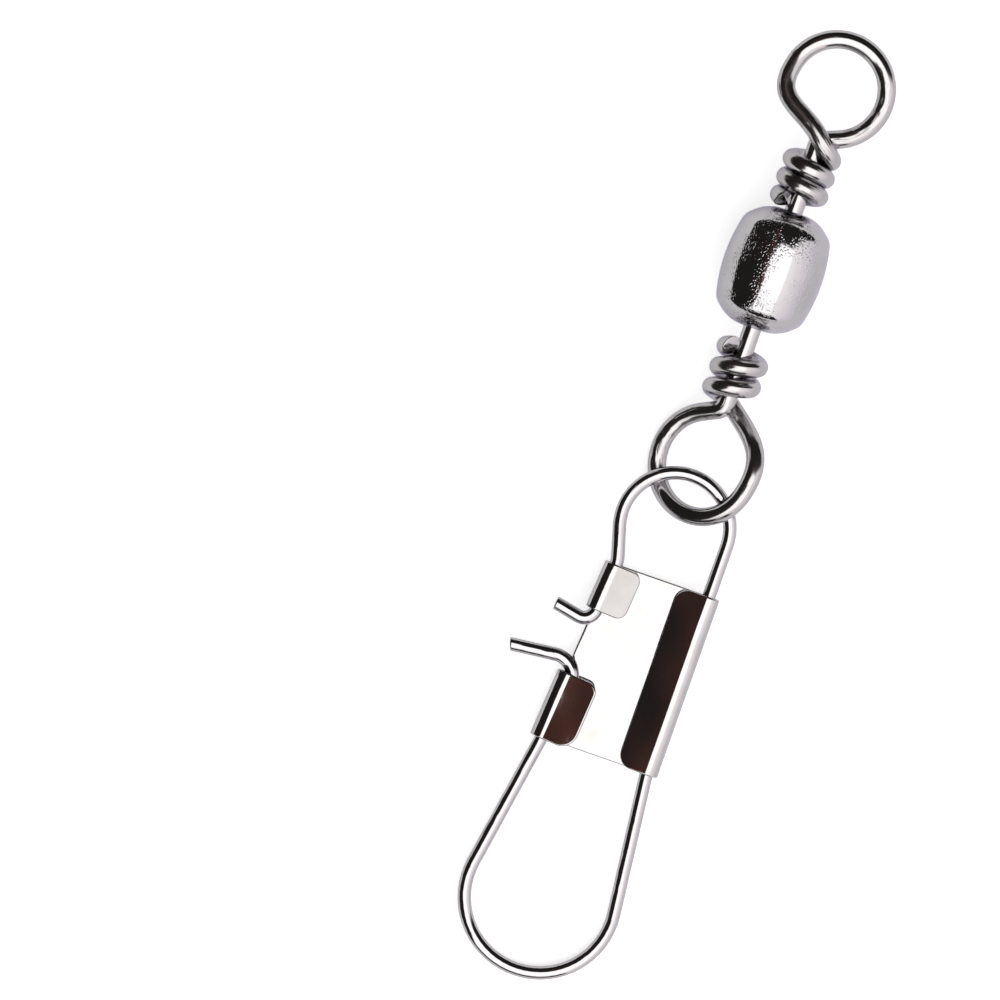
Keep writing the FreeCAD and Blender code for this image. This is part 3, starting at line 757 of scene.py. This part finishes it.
# %% Round the corners and thicken the sheet
FLAP_CORNER = 0.70 * MM
TAB_CORNER = 0.50 * MM
LOW_CORNER = 0.85 * MM
CORNER_STEPS = 8
EDGE_ROUND = 0.08 * MM
EDGE_STEPS = 3
EDGE_ANGLE = 50
for ends, corner in (
    (flap_ends, FLAP_CORNER), (upper_ends, TAB_CORNER),
    (lower_ends[:1], LOW_CORNER), (lower_ends[1:], TAB_CORNER),
):
    bmesh.ops.bevel(
        clip_bm, geom=ends, offset=corner, offset_type="OFFSET", segments=CORNER_STEPS,
        profile=0.5, affect="VERTICES", material=-1,
    )
bmesh.ops.remove_doubles(clip_bm, verts=clip_bm.verts[:], dist=MERGE_WITHIN)
bmesh.ops.recalc_face_normals(clip_bm, faces=clip_bm.faces[:])
clip_bm.faces.ensure_lookup_table()
if clip_bm.faces[0].normal.z > 0:
    bmesh.ops.reverse_faces(clip_bm, faces=clip_bm.faces[:])
clip_sheet = finish_piece(clip_bm, "clip_plate_sheet", snap_place, "snap")
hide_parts("clip_plate")
thickness = clip_sheet.modifiers.new("sheet_thickness", "SOLIDIFY")
thickness.thickness = SHEET
thickness.offset = 1
thickness.use_even_offset = True
edges_round = clip_sheet.modifiers.new("sheared_edges", "BEVEL")
edges_round.width = EDGE_ROUND
edges_round.segments = EDGE_STEPS
edges_round.limit_method = "ANGLE"
edges_round.angle_limit = turn(EDGE_ANGLE)
edges_round.use_clamp_overlap = False
flat_stays_flat = clip_sheet.modifiers.new("flat_stays_flat", "WEIGHTED_NORMAL")
flat_stays_flat.keep_sharp = True

# %% [markdown]
# ## What nickel plate looks like
# Bright nickel is nearly a mirror, and a little darker than one. What makes it read as metal is
# what it reflects, and the tiny faults in the mirror: specks in the plating, which break the edge
# of a dark reflection into dots, and shallow waves left by folding. Every finish here needs them,
# so they are one node group with values for each material.

# %% Helpers for shader nodes
def add_node(tree, kind, label, values=None, settings=None):
    """A shader node with its label, its socket values and its settings."""
    node = tree.nodes.new(kind)
    node.label = label
    for key, value in (settings or {}).items():
        setattr(node, key, value)
    for key, value in (values or {}).items():
        node.inputs[key].default_value = value
    return node


def link(tree, source, output, target, entry):
    """Joins one node's output to another's input."""
    tree.links.new(source.outputs[output], target.inputs[entry])


def feed(tree, value, entry):
    """Gives an input its value: a number, a colour or another node's output."""
    if isinstance(value, bpy.types.NodeSocket):
        tree.links.new(value, entry)
    else:
        entry.default_value = value


def math_node(tree, operation, label, first, second):
    """A math node's output. Its two entries are numbers or outputs."""
    node = add_node(tree, "ShaderNodeMath", label, settings={"operation": operation})
    feed(tree, first, node.inputs[0])
    feed(tree, second, node.inputs[1])
    return node.outputs[0]


def range_node(tree, label, value, span, onto=(0.0, 1.0)):
    """An output carried from one span of values onto another."""
    node = add_node(tree, "ShaderNodeMapRange", label)
    feed(tree, value, node.inputs["Value"])
    for name, end in zip(("From Min", "From Max", "To Min", "To Max"), (*span, *onto)):
        feed(tree, end, node.inputs[name])
    return node.outputs["Result"]


def colour_mix(tree, label, under, over, share):
    """Two colours mixed, by this share of the one that lies over. A Mix node has sockets for
    numbers and vectors too: its colours are inputs 6 and 7 and output 2."""
    node = add_node(tree, "ShaderNodeMix", label, settings={"data_type": "RGBA"})
    feed(tree, share, node.inputs[0])
    feed(tree, under, node.inputs[6])
    feed(tree, over, node.inputs[7])
    return node.outputs[2]


def add_noise(tree, label, place, scale, detail=0.0):
    """A noise texture's value at a place."""
    node = add_node(tree, "ShaderNodeTexNoise", label, {"Detail": detail})
    feed(tree, place, node.inputs["Vector"])
    feed(tree, scale, node.inputs["Scale"])
    return node.outputs["Fac"]


print("node helpers ready")

# %% [markdown]
# The group takes a place on the surface and gives a height for the bump, a roughness and a tint.
# The specks come from a fine noise of which only the peaks are kept, so they are few and steep. A
# broad noise, the haze, gathers them in worn patches and makes the plating a little duller and
# deeper there. A third noise, without detail, is the waves of the sheet.

# %% The plating group
SPECK_PEAKS = (0.56, 0.76)
HAZE_SCALE, HAZE_DETAIL = 700.0, 3.0
WORN_PATCHES, WORN_DEPTHS = (0.42, 0.54), (0.06, 1.0)
DULL_PATCHES = (0.38, 0.68)
DEEP_PATCHES = (0.40, 0.70)
WAVE_SCALE = 420.0


def make_plating_group():
    """Specks, waves, haze and tint of nickel plate."""
    group = bpy.data.node_groups.new("nickel_plating", "ShaderNodeTree")
    for name, kind in (
        ("Place", "Vector"), ("Grain", "Float"), ("Specks", "Float"), ("Waves", "Float"),
        ("Clean", "Float"), ("Dull", "Float"), ("Bright", "Color"), ("Deep", "Color"),
    ):
        group.interface.new_socket(name=name, in_out="INPUT", socket_type="NodeSocket" + kind)
    for name, kind in (("Tint", "Color"), ("Roughness", "Float"), ("Height", "Float")):
        group.interface.new_socket(name=name, in_out="OUTPUT", socket_type="NodeSocket" + kind)
    given = group.nodes.new("NodeGroupInput").outputs
    leave = group.nodes.new("NodeGroupOutput").inputs
    specks = add_noise(group, "specks", given["Place"], given["Grain"])
    haze = add_noise(group, "haze", given["Place"], HAZE_SCALE, HAZE_DETAIL)
    waves = add_noise(group, "waves", given["Place"], WAVE_SCALE)
    peaks = range_node(group, "few and steep", specks, SPECK_PEAKS)
    worn = range_node(group, "specks in worn patches", haze, WORN_PATCHES, WORN_DEPTHS)
    raised = math_node(group, "MULTIPLY", "speck height", peaks, given["Specks"])
    gathered = math_node(group, "MULTIPLY", "gathered", raised, worn)
    waved = math_node(group, "MULTIPLY", "wave depth", waves, given["Waves"])
    height = math_node(group, "ADD", "height", gathered, waved)
    roughness = range_node(group, "dull", haze, DULL_PATCHES, (given["Clean"], given["Dull"]))
    deep_share = range_node(group, "deep share", haze, DEEP_PATCHES)
    tint = colour_mix(group, "tint", given["Bright"], given["Deep"], deep_share)
    for name, value in (("Tint", tint), ("Roughness", roughness), ("Height", height)):
        feed(group, value, leave[name])
    return group


plating_group = make_plating_group()
print("group:", plating_group.name)

# %% [markdown]
# ## One finish for each kind of part
# The barrel is tumbled before it is plated, so its specks are the same in all directions and it
# reads Object coordinates. Wire shows lines along its length, so it reads the drawn attribute,
# and there the pattern is stretched along the wire. The clip's sheet is smoother than both, but
# wavier. On the barrel and the clip a Mapping node moves the pattern, until the worn patches lie
# where the photograph has them. The edge tint is a faint violet, which shows where the metal is
# seen at a slant.

# %% Make a finish
EDGE_TINT = (0.80, 0.77, 0.88, 1)
DRAWN_OUT = (1, 1, 0.16)
BARREL_FAULTS = (-0.00115, 0.03, 0.00955)
CLIP_FAULTS = (0.05, 0.02, 0.0)


def make_finish(name, grain, specks, waves, clean, dull, bump, bright, deep, shift=None):
    """A nickel-plated material from the plating group. The pattern follows drawn wire, or with
    a shift it lies in the piece's own place, moved by that much."""
    material = bpy.data.materials.new(name)
    material.use_nodes = True
    tree = material.node_tree
    tree.nodes.clear()
    output = add_node(tree, "ShaderNodeOutputMaterial", "output")
    metal = add_node(
        tree, "ShaderNodeBsdfPrincipled", "metal", {"Metallic": 1.0, "Specular Tint": EDGE_TINT}
    )
    values = {
        "Grain": grain, "Specks": specks, "Waves": waves, "Clean": clean, "Dull": dull,
        "Bright": bright, "Deep": deep,
    }
    plating = add_node(tree, "ShaderNodeGroup", "plating", values, {"node_tree": plating_group})
    if shift:
        source = add_node(tree, "ShaderNodeTexCoord", "place").outputs["Object"]
        laid = add_node(tree, "ShaderNodeMapping", "where the faults are", {"Location": shift})
    else:
        read = {"attribute_name": "drawn"}
        source = add_node(tree, "ShaderNodeAttribute", "drawn wire", None, read).outputs["Vector"]
        laid = add_node(tree, "ShaderNodeMapping", "along the wire", {"Scale": DRAWN_OUT})
    feed(tree, source, laid.inputs["Vector"])
    link(tree, laid, "Vector", plating, "Place")
    surface = add_node(tree, "ShaderNodeBump", "plated surface", {"Distance": bump})
    link(tree, plating, "Height", surface, "Height")
    link(tree, surface, "Normal", metal, "Normal")
    link(tree, plating, "Tint", metal, "Base Color")
    link(tree, plating, "Roughness", metal, "Roughness")
    link(tree, metal, "BSDF", output, "Surface")
    return material


barrel_plate = make_finish(
    "barrel_plate", grain=10500, specks=1.0, waves=0.7, clean=0.06, dull=0.12, bump=0.010 * MM,
    bright=(0.53, 0.52, 0.53, 1), deep=(0.49, 0.48, 0.49, 1), shift=BARREL_FAULTS,
)
eye_wire_plate = make_finish(
    "eye_wire_plate", grain=8500, specks=1.0, waves=1.0, clean=0.13, dull=0.23, bump=0.011 * MM,
    bright=(0.52, 0.51, 0.51, 1), deep=(0.46, 0.45, 0.45, 1),
)
spring_wire_plate = make_finish(
    "spring_wire_plate", grain=8000, specks=1.0, waves=2.0, clean=0.06, dull=0.14,
    bump=0.004 * MM, bright=(0.53, 0.52, 0.53, 1), deep=(0.49, 0.48, 0.49, 1),
)
clip_sheet_plate = make_finish(
    "clip_sheet_plate", grain=7000, specks=0.12, waves=20.0, clean=0.04, dull=0.09,
    bump=0.004 * MM, bright=(0.54, 0.53, 0.53, 1), deep=(0.49, 0.485, 0.47, 1),
    shift=CLIP_FAULTS,
)
for piece, finish in (
    (barrel_shell, barrel_plate), (line_eye_wire, eye_wire_plate), (snap_eye_wire, eye_wire_plate),
    (small_loop_wire, spring_wire_plate), (large_loop_wire, spring_wire_plate),
    (clip_sheet, clip_sheet_plate),
):
    piece.data.materials.clear()
    piece.data.materials.append(finish)
    print(piece.name, "is finished in", finish.name)

# %% [markdown]
# ## The studio
# A mirror needs something to mirror. Small bright hardware is photographed in a light tent with
# black cards: white above, black cards on the left, at the far end and in the corner between
# them, pale grey to the right. The cards are drawn straight into the world, so they are endlessly
# far away. Each starts at an angle from straight up, in degrees, and keeps to a range of bearings,
# counted from the far end.

# %% The light tent and its cards
OVERHEAD = (2.0, 1.99, 1.98, 1)
RIGHT_WALL_HIGH = (1.55, 1.49, 1.46, 1)
RIGHT_WALL_LOW = (1.02, 0.95, 1.03, 1)
NEAR_WALL = (1.30, 1.27, 1.25, 1)
CARD_BLACK = (0.022, 0.020, 0.019, 1)
CARD_BROWN = (0.130, 0.048, 0.036, 1)
WHITE = (1, 1, 1, 1)
RIGHT_WALL_FROM, RIGHT_WALL_TO = 32.0, 85.0
NEAR_WALL_FROM = 50.0
NEAR_CARD_FROM, NEAR_CARD_TO, NEAR_CARD_BEARING = 62.0, 88.0, 145.0
FAR_CARD_FROM, FAR_CARD_BEARING, FAR_CARD_FADE = 14.0, 64.0, 8.0
FAR_CARD_LEAN, LEAN_FROM = 0.35, 30.0
LEFT_CARD_FROM, BROWN_TO, LEFT_CARD_BEARINGS = 15.0, 27.0, (30.0, 150.0)
CORNER_CARD_FROM, CORNER_CARD_BEARINGS = 13.0, (8.0, 82.0)
SOFTNESS = 2.0

world = bpy.data.worlds.new("light_tent")
bpy.context.scene.world = world
world.use_nodes = True
sky = world.node_tree
sky.nodes.clear()
print("world:", world.name)

# %% [markdown]
# What the tent shows depends only on direction. From a direction's X, Y and Z come its angles from
# straight up toward the four sides, and its bearing round the table. A mask is 1 on a card and 0
# beside it, so where two masks both hold is their product.

# %% Angles and masks
def sky_math(operation, label, first, second):
    """A math node's output in the world's tree."""
    return math_node(sky, operation, label, first, second)


def beyond(angle, degrees, label, softness=SOFTNESS):
    """1 past this angle and 0 before it, with a soft edge."""
    edge = (turn(degrees - softness / 2), turn(degrees + softness / 2))
    return range_node(sky, label, angle, edge)


def both(first, second, label):
    """Where both masks hold."""
    return sky_math("MULTIPLY", label, first, second)


def outside(mask, label):
    """Where the mask doesn't hold."""
    return sky_math("SUBTRACT", label, 1.0, mask)


def between(angle, low, high, label):
    """1 from the low angle to the high one and 0 elsewhere."""
    return both(beyond(angle, low, label), outside(beyond(angle, high, label), label), label)


toward = add_node(sky, "ShaderNodeTexCoord", "direction")
split = add_node(sky, "ShaderNodeSeparateXYZ", "x y z")
link(sky, toward, "Generated", split, "Vector")
x, y, z = split.outputs
to_right = sky_math("ARCTAN2", "angle to the right", x, z)
to_left = sky_math("MULTIPLY", "angle to the left", to_right, -1.0)
to_far = sky_math("ARCTAN2", "angle to the far end", y, z)
to_near = sky_math("MULTIPLY", "angle to the near end", to_far, -1.0)
bearing = sky_math("ARCTAN2", "bearing from the far end", x, y)
bearing_left = sky_math("MULTIPLY", "bearing leftward", bearing, -1.0)
bearing_size = sky_math("ABSOLUTE", "bearing either way", bearing, 0.0)
print("angles to the four sides are ready")

# %% [markdown]
# The walls are painted first and the cards over them. The right wall grows darker downwards. The
# low card at the near end only shows as a thin dark line in surfaces that face it.

# %% Paint the walls and the low card
def paint(under, colour, share, label):
    """Paints a colour over what is there by this share."""
    return colour_mix(sky, label, under, colour, share)


tent = paint(OVERHEAD, NEAR_WALL, beyond(to_near, NEAR_WALL_FROM, "near wall"), "near wall")
right_wall_low = beyond(
    to_right, (RIGHT_WALL_FROM + RIGHT_WALL_TO) / 2, "down the right wall",
    RIGHT_WALL_TO - RIGHT_WALL_FROM,
)
right_wall = paint(RIGHT_WALL_HIGH, RIGHT_WALL_LOW, right_wall_low, "right wall's colour")
tent = paint(tent, right_wall, beyond(to_right, RIGHT_WALL_FROM, "right wall"), "right wall")
near_card = both(
    between(to_near, NEAR_CARD_FROM, NEAR_CARD_TO, "low"),
    beyond(bearing_size, NEAR_CARD_BEARING, "near end only"), "near card",
)
tent = paint(tent, CARD_BLACK, near_card, "near card")
print("walls:", len(sky.nodes), "nodes so far")

# %% [markdown]
# The far card's edge climbs to the right. The corner card closes the gap beside it, and the left
# card has a brown edge toward the top, which gives the barrel and the flaps their brown
# reflections. The camera itself sees plain white behind the swivel.

# %% Paint the cards and light the tent
rightward = sky_math("SUBTRACT", "right of the far card", to_right, turn(LEAN_FROM))
rightward = sky_math("MAXIMUM", "only to the right", rightward, 0.0)
edge_climb = sky_math("MULTIPLY", "edge climbs", rightward, FAR_CARD_LEAN)
far_edge = sky_math("SUBTRACT", "far card's edge", to_far, edge_climb)
past_far_card = beyond(bearing_size, FAR_CARD_BEARING, "past the far card", FAR_CARD_FADE)
far_card = both(
    beyond(far_edge, FAR_CARD_FROM, "far card"), outside(past_far_card, "far end only"),
    "far card",
)
tent = paint(tent, CARD_BLACK, far_card, "far card")
far_less_right = sky_math("SUBTRACT", "far less right", y, x)
to_corner = sky_math("MULTIPLY", "toward the corner", far_less_right, math.sqrt(0.5))
corner_angle = sky_math("ARCTAN2", "angle to the far left corner", to_corner, z)
corner_card = both(
    beyond(corner_angle, CORNER_CARD_FROM, "corner card"),
    between(bearing_left, *CORNER_CARD_BEARINGS, "corner only"), "corner card",
)
tent = paint(tent, CARD_BLACK, corner_card, "corner card")
left_card = both(
    beyond(to_left, LEFT_CARD_FROM, "left card"),
    between(bearing_left, *LEFT_CARD_BEARINGS, "left side only"), "left card",
)
past_brown = beyond(
    to_left, (LEFT_CARD_FROM + BROWN_TO) / 2, "past the brown", BROWN_TO - LEFT_CARD_FROM
)
left_card_colour = paint(CARD_BROWN, CARD_BLACK, past_brown, "brown edge")
tent = paint(tent, left_card_colour, left_card, "left card")
light_path = add_node(sky, "ShaderNodeLightPath", "light path")
tent = paint(tent, WHITE, light_path.outputs["Is Camera Ray"], "white for the camera")
background = add_node(sky, "ShaderNodeBackground", "tent")
feed(sky, tent, background.inputs["Color"])
world_output = add_node(sky, "ShaderNodeOutputWorld", "world")
link(sky, background, "Background", world_output, "Surface")
print("world nodes:", len(sky.nodes))

# %% [markdown]
# ## The floor
# The photograph's background is pure white paper. A pale floor lit by the tent comes out grey,
# so it also glows, but only as the camera and the mirrors see it. The glow is added to the light
# that falls on it, so the floor keeps the swivel's soft shadow.

# %% The floor
FLOOR_HALF = 0.6
PAPER = (0.80, 0.80, 0.80, 1)
PAPER_ROUGHNESS = 0.9
FLOOR_GLOW = 0.68
MIRRORED_GLOW = 0.32
floor_bm = bmesh.new()
bmesh.ops.create_grid(floor_bm, x_segments=1, y_segments=1, size=FLOOR_HALF)
floor_mesh = bpy.data.meshes.new("floor")
floor_bm.to_mesh(floor_mesh)
floor_bm.free()
floor = bpy.data.objects.new("floor", floor_mesh)
bpy.context.scene.collection.objects.link(floor)
floor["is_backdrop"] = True
paper = bpy.data.materials.new("white_paper")
paper.use_nodes = True
paper_tree = paper.node_tree
paper_shader = paper_tree.nodes["Principled BSDF"]
paper_shader.inputs["Base Color"].default_value = PAPER
paper_shader.inputs["Roughness"].default_value = PAPER_ROUGHNESS
paper_shader.inputs["Specular IOR Level"].default_value = 0.0
paper_shader.inputs["Emission Color"].default_value = WHITE
paper_path = add_node(paper_tree, "ShaderNodeLightPath", "light path")
seen = math_node(
    paper_tree, "MULTIPLY", "glow seen", paper_path.outputs["Is Camera Ray"], FLOOR_GLOW
)
mirrored = math_node(
    paper_tree, "MULTIPLY", "glow mirrored", paper_path.outputs["Is Glossy Ray"], MIRRORED_GLOW
)
glow = math_node(paper_tree, "ADD", "glow", seen, mirrored)
feed(paper_tree, glow, paper_shader.inputs["Emission Strength"])
floor.data.materials.append(paper)
print("floor is", FLOOR_HALF * 2, "m across")

# %% [markdown]
# ## The camera
# The photograph looks straight down on the table, with the swivel turned clockwise from upright
# and to the right of the picture's middle. A long lens a quarter of a metre away keeps the
# perspective as flat as it is there.

# %% The camera
FRAME_WIDTH = 48.0 * MM
LENS = 200.0
VIEW_CENTRE = Vector((-7.41 * MM, -2.61 * MM, 2.5 * MM))
VIEW_TURN = 19.3
camera_data = bpy.data.cameras.new("camera")
camera_data.lens = LENS
camera_data.sensor_width = 36.0
camera_data.clip_start = 0.01
camera_data.clip_end = 10.0
camera = bpy.data.objects.new("camera", camera_data)
bpy.context.scene.collection.objects.link(camera)
camera_distance = FRAME_WIDTH * LENS / camera_data.sensor_width
camera.location = VIEW_CENTRE + Vector((0, 0, camera_distance))
camera.rotation_euler = (0, 0, turn(VIEW_TURN))
bpy.context.scene.camera = camera
bpy.context.scene.view_settings.view_transform = "Standard"
print(f"camera {camera_distance:.3f} m above the swivel")

# %% [markdown]
# ## The size of the dressed swivel
# The dressed swivel must be as large as the solid one, so both boxes are printed.

# %% Print the sizes
dressed_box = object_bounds()
for name, (low, high) in (("solid", solid_box), ("dressed", dressed_box)):
    print(name, "box:", [round((h - l) / MM, 2) for l, h in zip(low, high)], "mm")
